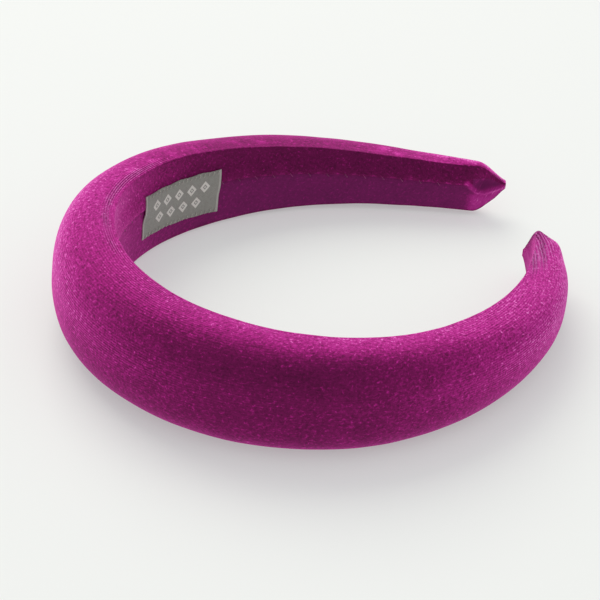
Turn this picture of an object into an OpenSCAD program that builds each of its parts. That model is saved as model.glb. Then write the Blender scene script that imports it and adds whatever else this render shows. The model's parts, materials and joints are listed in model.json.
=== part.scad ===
// Padded alice band, lying on its side: plastic core, crescent foam pad, velvet cover, woven label.
// The crown is towards -Y and the tips towards +Y. Lengths are measured along the inner face from the
// middle of the crown; left (-X) lengths are negative.

/* [Band outline] */
// Radius of the inner face around the crown
crown_radius = 59; // [50:0.5:72]
// Turn of the crown arc on each side of the middle, in degrees
crown_turn = 94; // [85:1:100]
// Radius of the inner face along the middle of each arm
arm_radius = 91; // [80:1:120]
// Turn of the middle of each arm, in degrees
arm_turn = 31; // [15:1:34]
// Radius of the inner face along the end of each arm
end_radius = 164; // [100:1:180]
// Turn of the end of each arm, in degrees
end_turn = 6; // [4:1:16]
// Length of the left tip run past the end of the arm
left_tip_run = 34; // [10:1:40]
// Turn of the left tip run, in degrees
left_tip_turn = 1; // [1:1:16]
// Length of the right tip run past the end of the arm
right_tip_run = 14; // [8:1:30]
// Turn of the right tip run, in degrees
right_tip_turn = 33; // [1:1:40]

/* [Padded section] */
// Height of the band at the crown, from rim to rim
crown_height = 36; // [28:0.1:44]
// Height of the arms where the tips begin
arm_height = 17; // [13:0.1:20]
// Thickness of the padded crown, from inner face to outer face
crown_thickness = 18.5; // [15:0.1:24]
// Thickness of the arms
arm_thickness = 14.8; // [12:0.1:19]
// Thickness at the ends of the tips
tip_thickness = 3.4; // [3:0.1:5]
// Height of the blunt ends of the tips
tip_height = 5; // [4.5:0.1:9]
// Length over which each tip narrows to its blunt end
tip_length = 9.5; // [6:0.5:20]
// Share of each half over which the crown's extra thickness fades out
crown_spread = 0.57; // [0.3:0.01:0.8]
// Share of the height over which the inner face is flat
face_share = 0.94; // [0.7:0.01:0.96]
// Share of the thickness at which the rims stand
rim_share = 0.2; // [0.15:0.01:0.4]
// Roundness of the outer face: 2 is an ellipse, more is boxier
outer_power = 2.6; // [2:0.1:3]

/* [Velvet cover] */
// Thickness of the velvet with its pile
cover_wall = 1; // [0.6:0.1:1.2]
// Width of the slit where the two edges of the cover meet
seam_gap = 0.3; // [0.2:0.1:1]
// Height of the seam above the middle of the inner face, as a share of the band's height
seam_share = 0.06; // [-0.1:0.01:0.1]
// How far the folded end of the cover is tucked into each tip
tuck_depth = 6; // [3:0.5:8]

/* [Core and foam] */
// Thickness of the plastic core
core_thickness = 1.2; // [0.8:0.1:1.6]
// Height of the core at the crown
core_crown_height = 20; // [12:0.5:22]
// Height of the core at its ends
core_end_height = 7.5; // [5:0.5:8.5]
// Distance from the core's ends to the ends of the tips
core_end_margin = 9; // [8:0.5:16]
// Distance from the foam's ends to the ends of the tips
foam_end_margin = 14; // [11:0.5:30]

/* [Seam stitches] */
// Distance from one slip stitch to the next
stitch_pitch = 6; // [4:0.5:10]
// Length of a slip stitch across the seam
stitch_length = 2.2; // [1.4:0.1:4]
// Thickness of the thread
thread_diameter = 0.35; // [0.2:0.05:0.5]
// Distance from the last slip stitch to the end of the tip
stitch_margin = 18; // [14:1:40]

/* [Label] */
// Distance of the label's near end from the middle of the crown
label_start = 71.5; // [62:0.5:90]
// Length of the label along the left arm
label_length = 32.5; // [20:0.5:40]
// Height of the label
label_height = 15.2; // [8:0.1:17]
// How far the label's middle is below the middle of the inner face
label_drop = 1; // [0:0.1:2]
// Thickness of the woven label
label_thickness = 0.35; // [0.2:0.05:0.5]
// Length of one stitch along the label's edges
label_stitch_length = 1.3; // [0.8:0.1:2]
// Distance from one label stitch to the next
label_stitch_pitch = 2.6; // [2:0.1:5]
// Distance of the label's stitches from its edges
label_stitch_inset = 0.8; // [0.5:0.1:2]

/* [Flex] */
// Distance of each flex line from the middle of the crown
flex_distance = 55; // [45:1:60]
// Gap between the crown's pieces and the arms' pieces at a flex line
flex_gap = 0.3; // [0.2:0.05:0.6]

/* [Fits] */
// Clearance between neighbouring layers
layer_gap = 0.15; // [0.05:0.05:0.3]
// Clearance between the inner face and what is sewn on it
surface_gap = 0.1; // [0.05:0.05:0.2]

/* [Hidden] */

velvet = "#b5126f";
dark_velvet = "#8c0d58";
foam_colour = "#f0ead2";
core_colour = "#2b2b2e";
thread_colour = "#d0408f";
label_colour = "#8c8574";
label_thread_colour = "#d8d2c0";

left = -1;
right = 1;
ring_pitch = 5;            // spacing of the sections along the band
tip_ring_pitch = 2;        // spacing of the sections along the tips
corner_steps = 3;          // facets of each inner rim
outer_steps = 14;          // facets of the outer face, rim to rim
height_fall = [2.3, 1.9];  // how the height falls off along an arm: powers inside and outside
thickness_fall = 9.5;      // how the thickness falls off along an arm
tip_fall = [2, 1.45];      // how a tip narrows: powers inside and outside
full_turn = 360;

// Arcs of the inner face on one side, each [radius, turn]
function tip_arc(run, turn) = [run * full_turn / (2 * PI * turn), turn];
function arcs(side) = [
    [crown_radius, crown_turn],
    [arm_radius, arm_turn],
    [end_radius, end_turn],
    side == left ? tip_arc(left_tip_run, left_tip_turn) : tip_arc(right_tip_run, right_tip_turn)];
function arc_length(arc) = arc[0] * arc[1] * 2 * PI / full_turn;
function total(list) = list * [for (x = list) 1];
function half_length(side) = total([for (arc = arcs(side)) arc_length(arc)]);
half_lengths = [half_length(left), half_length(right)];
mean_half_length = (half_lengths[0] + half_lengths[1]) / 2;
function reach(s) = half_lengths[s < 0 ? 0 : 1];

// Point and heading [x, y, angle] at a length along the arcs, starting at the given point and heading
function walk(length, runs, i = 0, start = [0, 0, 0]) =
    let (r = runs[i][0],
         inside = length <= arc_length(runs[i]) || i == len(runs) - 1,
         turn = inside ? length * full_turn / (2 * PI * r) : runs[i][1],
         a = start[2],
         b = a + turn,
         stop = [start[0] + r * (sin(b) - sin(a)), start[1] + r * (cos(a) - cos(b)), b])
    inside ? stop : walk(length - arc_length(runs[i]), runs, i + 1, stop);

// Point and heading of the inner face at a signed length from the middle of the crown
function inner_face(s) =
    let (w = walk(abs(s), arcs(s < 0 ? left : right)), m = s < 0 ? -1 : 1)
    [m * w[0], w[1], m * w[2]];

// Height and thickness of the whole band at a signed length
function share(s) = min(abs(s) / reach(s), 1);
function tip_narrowing(s) =
    let (end_share = tip_height / arm_height, d = min((reach(s) - abs(s)) / tip_length, 1))
    end_share + (1 - end_share) * pow(1 - pow(1 - max(d, 0), tip_fall[0]), tip_fall[1]);
function band_height(s) =
    let (along = min(abs(s) / mean_half_length, 1))
    (arm_height + (crown_height - arm_height) * pow(1 - pow(along, height_fall[0]), height_fall[1]))
    * tip_narrowing(s);
function crown_fade(s) = (1 + cos(180 * min(share(s) / crown_spread, 1))) / 2;
function band_thickness(s) =
    tip_thickness + (arm_thickness - tip_thickness) * (1 - pow(share(s), thickness_fall))
    + (crown_thickness - arm_thickness) * crown_fade(s);
function core_height(s) = core_crown_height + (core_end_height - core_crown_height) * share(s);
function seam_height(s) = seam_share * band_height(s);

// Upper inner rim of the section, inset by d: points [distance from the inner face, height]
function rim(s, d) =
    let (h = band_height(s) - 2 * d, t = band_thickness(s) - 2 * d)
    [for (i = [0 : corner_steps - 1])
        let (a = 90 * i / corner_steps)
        [d + rim_share * t * (1 - cos(a)), h / 2 * (face_share + (1 - face_share) * sin(a))]];
// Outer face of the section, from the upper rim through a given angle, inset by d
function outer(s, d, turn, steps) =
    let (h = band_height(s) - 2 * d, t = band_thickness(s) - 2 * d)
    [for (i = [0 : steps])
        let (a = turn * i / steps)
        [d + t * (rim_share + (1 - rim_share) * pow(sin(a), 2 / outer_power)),
         h / 2 * sign(cos(a)) * pow(abs(cos(a)), 2 / outer_power)]];
function reversed(points) = [for (i = [len(points) - 1 : -1 : 0]) points[i]];
function lowered(points) = [for (p = points) [p[0], -p[1]]];
// Whole section from the upper inner rim round the outer face to the lower inner rim
function crescent(s, d) = concat(rim(s, d), outer(s, d, 180, outer_steps), lowered(reversed(rim(s, d))));
// The same with the two edges of the inner face, which meet at the seam
function wrapped(s, d) =
    concat([[d, seam_height(s) + seam_gap / 2]], crescent(s, d), [[d, seam_height(s) - seam_gap / 2]]);
// Walls of the channel for the core, with as many points as the crescent
core_inner = cover_wall + layer_gap;
core_outer = core_inner + core_thickness;
function channel(s) =
    let (half = core_height(s) / 2 + layer_gap, depth = core_outer + layer_gap - core_inner,
         side = [for (i = [0 : corner_steps - 1]) [core_inner + depth * i / corner_steps, half]],
         floor_line = [for (i = [0 : outer_steps]) [core_inner + depth, half * (1 - 2 * i / outer_steps)]])
    concat(side, floor_line, lowered(reversed(side)));

// A section point placed along the band
function placed(s, p) =
    let (f = inner_face(s))
    [f[0] + sin(f[2]) * p[0], f[1] - cos(f[2]) * p[0], p[1]];

// Lengths of the sections between two signed lengths
function even(a, b, pitch) = let (n = max(1, ceil(abs(b - a) / pitch))) [for (i = [0 : n]) a + (b - a) * i / n];
function without_last(list) = [for (i = [0 : 1 : len(list) - 2]) list[i]];
function arm_sections(side, end_margin) =
    let (start = flex_distance + flex_gap / 2,
         shoulder = half_length(side) - tip_length,
         end = half_length(side) - end_margin)
    [for (s = end > shoulder
              ? concat(without_last(even(start, shoulder, ring_pitch)), even(shoulder, end, tip_ring_pitch))
              : even(start, end, ring_pitch)) side * s];
crown_sections = even(flex_gap / 2 - flex_distance, flex_distance - flex_gap / 2, ring_pitch);
tuck_sections = [for (side = [left, right])
    [for (s = even(half_length(side) - tuck_depth, half_length(side), tip_ring_pitch)) side * s]];

// How the band lies: its lower rim rests on the surface on both sides of its balance point, and the
// origin is under the middle of its box
rim_points = [for (s = concat(arm_sections(left, 0), crown_sections, arm_sections(right, 0)))
    for (p = crescent(s, 0)) placed(s, p)];
along_band = even(-half_lengths[0], half_lengths[1], ring_pitch);
section_areas = [for (s = along_band) band_height(s) * band_thickness(s)];
balance = section_areas * [for (s = along_band) inner_face(s)[1]] / total(section_areas);
function tipped(p, angle) = [p[0], p[1] * cos(angle) + p[2] * sin(angle), p[2] * cos(angle) - p[1] * sin(angle)];
function lowest_part(angle, crown_side) =
    min([for (p = rim_points) if ((p[1] < balance) == crown_side) tipped(p, angle)[2]]);
function settled(low, high, halvings) =
    let (angle = (low + high) / 2)
    halvings == 0 ? angle
    : lowest_part(angle, true) < lowest_part(angle, false) ? settled(angle, high, halvings - 1)
    : settled(low, angle, halvings - 1);
lie_angle = settled(0, 20, 12);
resting = [for (p = rim_points) tipped(p, lie_angle)];
function lowest(axis) = min([for (p = resting) p[axis]]);
function highest(axis) = max([for (p = resting) p[axis]]);
origin_shift = [-(lowest(0) + highest(0)) / 2, -(lowest(1) + highest(1)) / 2, -lowest(2)];

module lay() {
    translate(origin_shift) rotate([-lie_angle, 0, 0]) children();
}

// Frame at a signed length: X along the band, -Y outwards, Z towards the upper rim
module on_band(s) {
    f = inner_face(s);
    translate([f[0], f[1], 0]) rotate([0, 0, f[2]]) children();
}

// Solid between two surfaces, each a list of rows of points, one row for each section
module between(over, under) {
    rows = len(over);
    n = len(over[0]);
    points = [for (k = [0 : rows - 1]) for (p = concat(over[k], under[k])) p];
    quads = concat(
        [for (k = [0 : rows - 2]) for (i = [0 : n - 2])
            [2 * n * k + i, 2 * n * k + i + 1, 2 * n * (k + 1) + i + 1, 2 * n * (k + 1) + i]],
        [for (k = [0 : rows - 2]) for (i = [0 : n - 2])
            [2 * n * k + n + i, 2 * n * (k + 1) + n + i, 2 * n * (k + 1) + n + i + 1, 2 * n * k + n + i + 1]],
        [for (k = [0 : rows - 2])
            [2 * n * k, 2 * n * (k + 1), 2 * n * (k + 1) + n, 2 * n * k + n]],
        [for (k = [0 : rows - 2])
            [2 * n * k + n - 1, 2 * n * k + 2 * n - 1, 2 * n * (k + 1) + 2 * n - 1, 2 * n * (k + 1) + n - 1]],
        [for (i = [0 : n - 2])
            [i, n + i, n + i + 1, i + 1]],
        [for (i = [0 : n - 2])
            let (base = 2 * n * (rows - 1))
            [base + i, base + i + 1, base + n + i + 1, base + n + i]]);
    triangles = [for (q = quads) each [[q[0], q[1], q[2]], [q[0], q[2], q[3]]]];
    polyhedron(points = points, faces = triangles);
}

// Sections run from -X to +X, so that every solid has the same hand
function in_order(sections) = sections[0] > sections[len(sections) - 1] ? reversed(sections) : sections;

module cover(sections) {
    order = in_order(sections);
    between([for (s = order) [for (p = wrapped(s, 0)) placed(s, p)]],
            [for (s = order) [for (p = wrapped(s, cover_wall)) placed(s, p)]]);
}

module foam(sections) {
    order = in_order(sections);
    between([for (s = order) [for (p = crescent(s, core_inner)) placed(s, p)]],
            [for (s = order) [for (p = channel(s)) placed(s, p)]]);
}

module core(sections) {
    order = in_order(sections);
    between([for (s = order) [for (edge = [1, -1]) placed(s, [core_outer, edge * core_height(s) / 2])]],
            [for (s = order) [for (edge = [1, -1]) placed(s, [core_inner, edge * core_height(s) / 2])]]);
}

// Folded end of the cover inside a tip: its upper and lower faces are half crescents
module tuck(sections) {
    order = in_order(sections);
    upper = [for (s = order) concat(rim(s, core_inner), outer(s, core_inner, 80, outer_steps / 2))];
    between([for (k = [0 : len(order) - 1]) [for (p = upper[k]) placed(order[k], p)]],
            [for (k = [0 : len(order) - 1]) [for (p = lowered(upper[k])) placed(order[k], p)]]);
}

// Slip stitches across the seam, except under the label
function stitch_lengths(side) =
    let (last = half_length(side) - stitch_margin)
    [for (s = [stitch_pitch / 2 : stitch_pitch : last]) side * s];
function under_label(s) =
    s < stitch_pitch / 2 - label_start && s > -label_start - label_length - stitch_pitch / 2;
module seam_thread(lengths) {
    for (s = lengths)
        if (!under_label(s))
            on_band(s)
                translate([0, surface_gap + thread_diameter / 2, seam_height(s) - stitch_length / 2])
                    cylinder(d = thread_diameter, h = stitch_length, $fn = 16);
}
function near_crown(s) = abs(s) < flex_distance - flex_gap - thread_diameter;
function beyond_flex(s) = abs(s) > flex_distance + flex_gap + thread_diameter;

module core_crown() { color(core_colour) lay() core(crown_sections); }
module core_arm_left() { color(core_colour) lay() core(arm_sections(left, core_end_margin)); }
module core_arm_right() { color(core_colour) lay() core(arm_sections(right, core_end_margin)); }

module foam_crown() { color(foam_colour) lay() foam(crown_sections); }
module foam_arm_left() { color(foam_colour) lay() foam(arm_sections(left, foam_end_margin)); }
module foam_arm_right() { color(foam_colour) lay() foam(arm_sections(right, foam_end_margin)); }

module cover_crown() { color(velvet) lay() cover(crown_sections); }
module cover_arm_left() { color(velvet) lay() cover(arm_sections(left, 0)); }
module cover_arm_right() { color(velvet) lay() cover(arm_sections(right, 0)); }

module tip_tuck_left() { color(dark_velvet) lay() tuck(tuck_sections[0]); }
module tip_tuck_right() { color(dark_velvet) lay() tuck(tuck_sections[1]); }

module seam_thread_crown() {
    both = concat(stitch_lengths(left), stitch_lengths(right));
    color(thread_colour) lay() seam_thread([for (s = both) if (near_crown(s)) s]);
}
module seam_thread_left() {
    color(thread_colour) lay() seam_thread([for (s = stitch_lengths(left)) if (beyond_flex(s)) s]);
}
module seam_thread_right() {
    color(thread_colour) lay() seam_thread([for (s = stitch_lengths(right)) if (beyond_flex(s)) s]);
}

module label() {
    sections = even(-label_start - label_length, -label_start, ring_pitch);
    edges = [label_height / 2 - label_drop, -label_height / 2 - label_drop];
    color(label_colour) lay()
        between([for (s = sections) [for (z = edges) placed(s, [-surface_gap, z])]],
                [for (s = sections) [for (z = edges) placed(s, [-surface_gap - label_thickness, z])]]);
}

// Stitches along the label's two long edges
module label_stitches() {
    count = floor((label_length - 2 * label_stitch_inset) / label_stitch_pitch);
    slack = label_length - count * label_stitch_pitch;
    face = 2 * surface_gap + label_thickness + thread_diameter / 2;
    color(label_thread_colour) lay()
        for (i = [0 : count]) for (edge = [-1, 1])
            on_band(-label_start - slack / 2 - i * label_stitch_pitch)
                translate([-label_stitch_length / 2, face, edge * (label_height / 2 - label_stitch_inset) - label_drop])
                    rotate([0, 90, 0]) cylinder(d = thread_diameter, h = label_stitch_length, $fn = 16);
}

core_crown();
core_arm_left();
core_arm_right();
foam_crown();
foam_arm_left();
foam_arm_right();
cover_crown();
cover_arm_left();
cover_arm_right();
tip_tuck_left();
tip_tuck_right();
seam_thread_crown();
seam_thread_left();
seam_thread_right();
label();
label_stitches();
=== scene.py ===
import json
import math

import bpy
import numpy as np
from mathutils import Matrix, Vector, noise


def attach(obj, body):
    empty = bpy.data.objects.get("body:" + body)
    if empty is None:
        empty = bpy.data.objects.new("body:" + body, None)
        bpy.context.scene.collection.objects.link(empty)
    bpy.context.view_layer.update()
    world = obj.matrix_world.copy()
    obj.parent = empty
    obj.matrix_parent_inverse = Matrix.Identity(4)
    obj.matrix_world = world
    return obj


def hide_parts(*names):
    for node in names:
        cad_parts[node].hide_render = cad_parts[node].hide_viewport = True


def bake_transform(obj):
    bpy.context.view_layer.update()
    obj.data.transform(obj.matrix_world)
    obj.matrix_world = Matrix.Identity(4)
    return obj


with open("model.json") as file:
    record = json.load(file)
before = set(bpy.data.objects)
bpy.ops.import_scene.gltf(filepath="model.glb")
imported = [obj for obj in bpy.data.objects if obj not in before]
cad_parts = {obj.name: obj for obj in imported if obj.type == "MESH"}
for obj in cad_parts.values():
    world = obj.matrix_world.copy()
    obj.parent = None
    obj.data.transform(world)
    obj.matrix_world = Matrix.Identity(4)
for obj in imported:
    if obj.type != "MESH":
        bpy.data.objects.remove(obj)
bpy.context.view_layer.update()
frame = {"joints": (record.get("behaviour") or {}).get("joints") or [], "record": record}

mm = 0.001
left, right = -1, 1
seat = Vector(frame["record"]["mounts"][0]["pos_m"])  # inner face of the crown, at mid height
flexAxis = Vector(frame["joints"][0]["axis"])
lieAngle = math.atan2(abs(flexAxis.y), abs(flexAxis.z))  # how far the band leans as it lies
armBody = {left: "arm_left", right: "arm_right"}
sideName = {left: "Left", right: "Right"}

# The inner face of the band is a chain of arcs, and everything is laid out along it. Sizes in millimetres.
bandShape = {
    "arcs": [(59, 94), (91, 31), (164, 6)],  # radius and turn in degrees
    "tipRun": {left: (34, 1), right: (14, 33)},  # length and turn in degrees
    "crownHeight": 36,
    "armHeight": 17,
    "crownThickness": 18.5,
    "armThickness": 14.8,
    "tipThickness": 3.4,
    "tipHeight": 2.6,
    "tipLength": 8.6,
    "tipFall": (2, 1.35),  # two powers that round off the height at a tip
    "tipRise": {left: 2.0, right: -2.2},  # how far a folded tip points upwards
    "tipRisePower": 1.6,
    "tipReach": {left: 0.9, right: 0.0},  # how far its fold sticks out past the end
    "tipReachRun": 2.6,
    "crownSpread": 0.57,  # the crown's extra thickness, as a share of each half
    "faceShare": 0.94,  # the flat part of the inner face's height
    "rimShare": 0.2,  # the rounded inner rim's share of the thickness
    "outerPower": 2.6,  # 2 is an ellipse, and more is squarer
    "heightFall": (2.3, 1.9),  # powers of the fall from the crown to the arms
    "thicknessFall": 9.5,
    "seamShare": 0.06,  # height of the seam over the middle, as a share of the band's height
    "rimPoints": 12,
    "outerPoints": 120,
}


def sideArcs(side):
    run, turn = bandShape["tipRun"][side]
    arcs = [(radius, math.radians(angle)) for radius, angle in bandShape["arcs"]]
    return arcs + [(run / math.radians(turn), math.radians(turn))]


halfLength = {side: sum(r * a for r, a in sideArcs(side)) for side in (left, right)}
meanHalf = (halfLength[left] + halfLength[right]) / 2


def innerFace(s):
    # point and heading of the inner face at a signed length from the middle of the crown
    side = left if s < 0 else right
    x = y = heading = 0.0
    rest = abs(s)
    arcs = sideArcs(side)
    for index, (radius, turn) in enumerate(arcs):
        isEnd = rest <= radius * turn or index == len(arcs) - 1
        step = rest / radius if isEnd else turn
        x += radius * (math.sin(heading + step) - math.sin(heading))
        y += radius * (math.cos(heading) - math.cos(heading + step))
        heading += step
        if isEnd:
            break
        rest -= radius * turn
    return side * x, y, side * heading


def place(s, r, z):
    # a point r outwards from the inner face and z above its middle, in metres; r and z may be arrays
    x, y, heading = innerFace(s)
    px, py = x + math.sin(heading) * r, y - math.cos(heading) * r
    lean, rise = math.cos(lieAngle), math.sin(lieAngle)
    return seat.x + px * mm, seat.y + (py * lean + z * rise) * mm, seat.z + (z * lean - py * rise) * mm


def bandSize(s):
    b = bandShape
    reach = halfLength[left if s < 0 else right]
    endShare = b["tipHeight"] / b["armHeight"]
    near = min(max((reach - abs(s)) / b["tipLength"], 0), 1)
    narrow = endShare + (1 - endShare) * (1 - (1 - near) ** b["tipFall"][0]) ** b["tipFall"][1]
    along = min(abs(s) / meanHalf, 1)
    swell = (1 - along ** b["heightFall"][0]) ** b["heightFall"][1]
    height = b["armHeight"] + (b["crownHeight"] - b["armHeight"]) * swell
    share = min(abs(s) / reach, 1)
    thick = b["tipThickness"] + (b["armThickness"] - b["tipThickness"]) * (1 - share ** b["thicknessFall"])
    crown = (1 + math.cos(math.pi * min(share / b["crownSpread"], 1))) / 2
    return height * narrow, thick + (b["crownThickness"] - b["armThickness"]) * crown


def smooth(x, low, high):
    t = np.clip((np.asarray(x, float) - low) / (high - low), 0, 1)
    return t * t * (3 - 2 * t)


def hump(x, middle, reach):
    return np.exp(-((np.asarray(x, float) - middle) / reach) ** 2)


def evenPoints(points, count, endpoint=True):
    # the same line with evenly spaced points
    p = np.asarray(points, float)
    steps = np.concatenate([[0], np.cumsum(np.linalg.norm(np.diff(p, axis=0), axis=1))])
    at = np.linspace(0, steps[-1], count, endpoint=endpoint)
    return np.stack([np.interp(at, steps, p[:, 0]), np.interp(at, steps, p[:, 1])], 1)


def crescentParts(s, inset):
    # the upper rim, then the outer face from rim to rim, as points (r, z)
    b = bandShape
    height, thick = bandSize(s)
    height, thick = height - 2 * inset, thick - 2 * inset
    a = np.linspace(0, math.pi / 2, b["rimPoints"])
    rimZ = height / 2 * (b["faceShare"] + (1 - b["faceShare"]) * np.sin(a))
    rim = np.stack([inset + b["rimShare"] * thick * (1 - np.cos(a)), rimZ], 1)
    a = np.linspace(0, math.pi, b["outerPoints"])
    power = 2 / b["outerPower"]
    outerR = inset + thick * (b["rimShare"] + (1 - b["rimShare"]) * np.sin(a).clip(0) ** power)
    outer = np.stack([outerR, height / 2 * np.sign(np.cos(a)) * np.abs(np.cos(a)) ** power], 1)
    return rim, outer


def newPiece(name, mesh, material):
    obj = bpy.data.objects.new(name, mesh)
    bpy.context.scene.collection.objects.link(obj)
    obj.data.materials.append(material)
    return obj


def pickOnly(obj):
    bpy.ops.object.select_all(action="DESELECT")
    bpy.context.view_layer.objects.active = obj
    obj.select_set(True)


def applyModifiers(obj):
    pickOnly(obj)
    for modifier in list(obj.modifiers):
        bpy.ops.object.modifier_apply(modifier=modifier.name)
    obj.select_set(False)


def layAlong(obj):
    # a piece modelled straight, X along the band, -Y outwards and Z up, is laid along the inner face
    co = np.zeros(len(obj.data.vertices) * 3)
    obj.data.vertices.foreach_get("co", co)
    co = co.reshape(-1, 3) / mm
    laid = np.array([place(s, -y, z) for s, y, z in co])
    obj.data.vertices.foreach_set("co", laid.ravel())
    obj.data.update()


def setClothMap(piece, flat):
    # the piece's own UV map says where each point lies on its flat cloth, in metres
    layer = piece.data.uv_layers.active
    layer.name = "cloth"
    corner = np.array([flat[loop.vertex_index] for loop in piece.data.loops]) * mm
    layer.data.foreach_set("uv", corner.ravel())


def linearColour(hexColour):
    parts = [int(hexColour[i:i + 2], 16) / 255 for i in (1, 3, 5)]
    return tuple(c / 12.92 if c <= 0.04045 else ((c + 0.055) / 1.055) ** 2.4 for c in parts) + (1,)


def newMaterial(name):
    material = bpy.data.materials.new(name)
    material.use_nodes = True
    material.node_tree.nodes.clear()
    return material


def addNode(material, kind, values=None, links=None, **settings):
    made = material.node_tree.nodes.new(kind)
    for name, value in settings.items():
        setattr(made, name, value)
    for socket, value in (values or {}).items():
        made.inputs[socket].default_value = value
    for socket, source in (links or {}).items():
        material.node_tree.links.new(source, made.inputs[socket])
    return made


def endMaterial(material, shader):
    addNode(material, "ShaderNodeOutputMaterial", links={"Surface": shader.outputs[0]})
    return material


# Camera, at three quarters from above, long lens

view = {
    "azimuth": 49.05,
    "elevation": 33.22,
    "distance": 0.8753,
    "lens": 170.9,
    "sensor": 36,
    "target": (-0.00822, -0.00202, 0.00019),
    "roll": 3.05,
}


def addCamera(v):
    azimuth, elevation, roll = (math.radians(v[k]) for k in ("azimuth", "elevation", "roll"))
    flat = math.cos(elevation)
    back = Vector((math.sin(azimuth) * flat, -math.cos(azimuth) * flat, math.sin(elevation)))
    across = Vector((math.cos(azimuth), math.sin(azimuth), 0))
    up = back.cross(across)
    across, up = across * math.cos(roll) + up * math.sin(roll), up * math.cos(roll) - across * math.sin(roll)
    data = bpy.data.cameras.new("camera")
    data.sensor_width = v["sensor"]
    data.lens = v["lens"]
    camera = bpy.data.objects.new("camera", data)
    bpy.context.scene.collection.objects.link(camera)
    turn = Matrix((across, up, back)).transposed().to_4x4()
    camera.matrix_world = Matrix.Translation(Vector(v["target"]) + back * v["distance"]) @ turn
    bpy.context.scene.camera = camera


addCamera(view)
print("stage 2: camera")

# Velvet cover: one sheet wrapped round the band, its upper edge lapped over its lower one along the inner
# face. It is made in two halves, because the crown and each arm are joined by their own flex.

cover = {
    "rowPitch": 0.9,
    "tipRowPitch": 0.35,
    "tipRows": 14,  # millimetres of each tip that have the close rows
    "columns": {"under": 5, "lowerFace": 18, "lowerRim": 9, "outer": 64, "upperRim": 18, "upperFace": 30},
    "wall": 0.5,
    "lap": 2.4,  # how far the lower edge runs on under the upper one
    "lapRise": 0.72,
    "lapFade": 6.0,
    "lapMost": (0.2, 0.35),  # the most that the lap and its fade take, as shares of the band's height
    "lapSink": 0.6,  # the lap starts to sink this share of it above the seam
    "lapEdge": (0.72, 0.7),  # its folded edge is rounded: share of the rise, and width
    "lapEnd": (8, 15),  # the lap runs out into the folded tip between these distances from the end
    "earFade": (-1.5, 2.5),  # heights between which a corner of a folded tip fades in
    "uneven": [(16, 0.16), (6, 0.05)],  # size and height of the soft unevenness over the foam
    "unevenSeed": 3.7,
    "unevenTip": 12,  # it fades out this far from a tip
    "labelMargin": 4,  # and this far from the label, on the inner face
    "stitches": {"pitch": 6.0, "dip": 0.3, "power": 6, "reach": 1.2, "tip": 20,  # how each pulls the edge in
                 "crush": 0.4, "crushPower": 3, "crushReach": 0.7},
    "crushMarks": [(-158.4, 5.0, 2.2), (-163.2, 2.2, 1.6)],  # flattened pile on the upper rim: s, r and reach
    "crushMarkOut": 0.8,  # their reach outwards, as a share of the one along
    "crushLimits": (-0.3, 1.2),
    # crushed patches on the upper rim of the left arm
    "patches": {"size": (4.5, 3.2), "seed": 9.1, "out": 4.0, "reach": 3.0, "patchy": (0.05, 0.5),
                "strength": 0.5, "fadeIn": (45, 75)},
    # fine folds along the inner rim, left of the crown, and ribs gathered by the folded right tip
    "folds": {"pitch": 0.72, "out": 1.6, "moreOut": 1.2, "moreOutFade": (78, 48), "reach": 1.25,
              "fadeIn": (12, 30), "fadeOut": (66, 88)},
    "ribs": {"pitch": 1.05, "out": 1.9, "reach": 2.9, "depth": 1.8, "slant": 13.5, "slantRun": 30,
             "fadeIn": (0.5, 3.0), "fadeOut": (20, 40)},
    # the knit's wales show on the outer face near the crown and along the right arm
    "wales": {"pitch": 0.8, "onFace": 0.3, "aroundFade": (-9, 3), "all": 0.12, "crown": 0.9,
              "crownAt": (-12, 30), "arm": 0.85, "armFade": (75, 120)},
    # share of the painted sheen at places along the band and around it: less on the far arm and low on the
    # outer face, which is painted shade there, and more on the upper rim, a painted highlight
    "sheenAlong": [(-190, 0.9), (-160, 0.36), (-110, 0.3), (-75, 0.68), (-50, 0.88), (-25, 0.76), (10, 0.8),
                  (40, 0.95), (120, 0.92), (178, 0.8)],
    "sheenAround": [(-30, 0.95), (-22, 0.7), (-12, 0.47), (-4, 0.78), (3, 1.2), (10, 1.3), (18, 1.15),
                   (30, 1.05)],
    "swell": {
        "rowStep": 4,
        "columnStep": 3,
        "heldTip": (0.72, 0.86),  # shares of each half between which the cloth comes to be held
        "heldRim": 10,  # columns beside the inner face over which it comes free
        "heldBelow": 0.02,
        "startSmall": 0.15,
        "mass": 0.002,
        "stiffness": 15.0,
        "bending": 0.5,
        "slack": 0.005,
        "pressure": 4.0,
        "frames": 20,
        "cap": 0.5,
        "relax": 3,
    },
    # how each half of the crescent-shaped cut lies flat, before it is stretched on: width, length and area
    "cut": {left: (0.098, 0.214, 0.0161), right: (0.098, 0.196, 0.0150)},
    # lean is each point's share of the painted sheen, and crush also carries the painted shade in the tip's
    # pocket
    "marks": ("crush", "nap", "ridge", "ridgeDepth", "lean", "wale"),
    "endRows": [(0.2, 0.93), (0.42, 0.76), (0.5, 0.52), (0.4, 0.3), (0.0, 0.18)],  # past a tip: run and share
}

# corners of the folded tips: from the end, outwards, lift, its reach along and out, and 1 for an upper one
tipEars = {
    left: [(1.8, 1.2, -0.55, 1.8, 3.0, -1)],
    right: [(6.8, 1.1, 1.25, 3.4, 1.5, 1), (6.8, 4.9, -0.4, 3.4, 1.2, 1), (11.0, 7.4, 0.9, 4.0, 1.7, 1)],
}
labelZone = {"start": -71.6, "end": -104.1, "low": -8.7, "high": 6.5}


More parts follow.
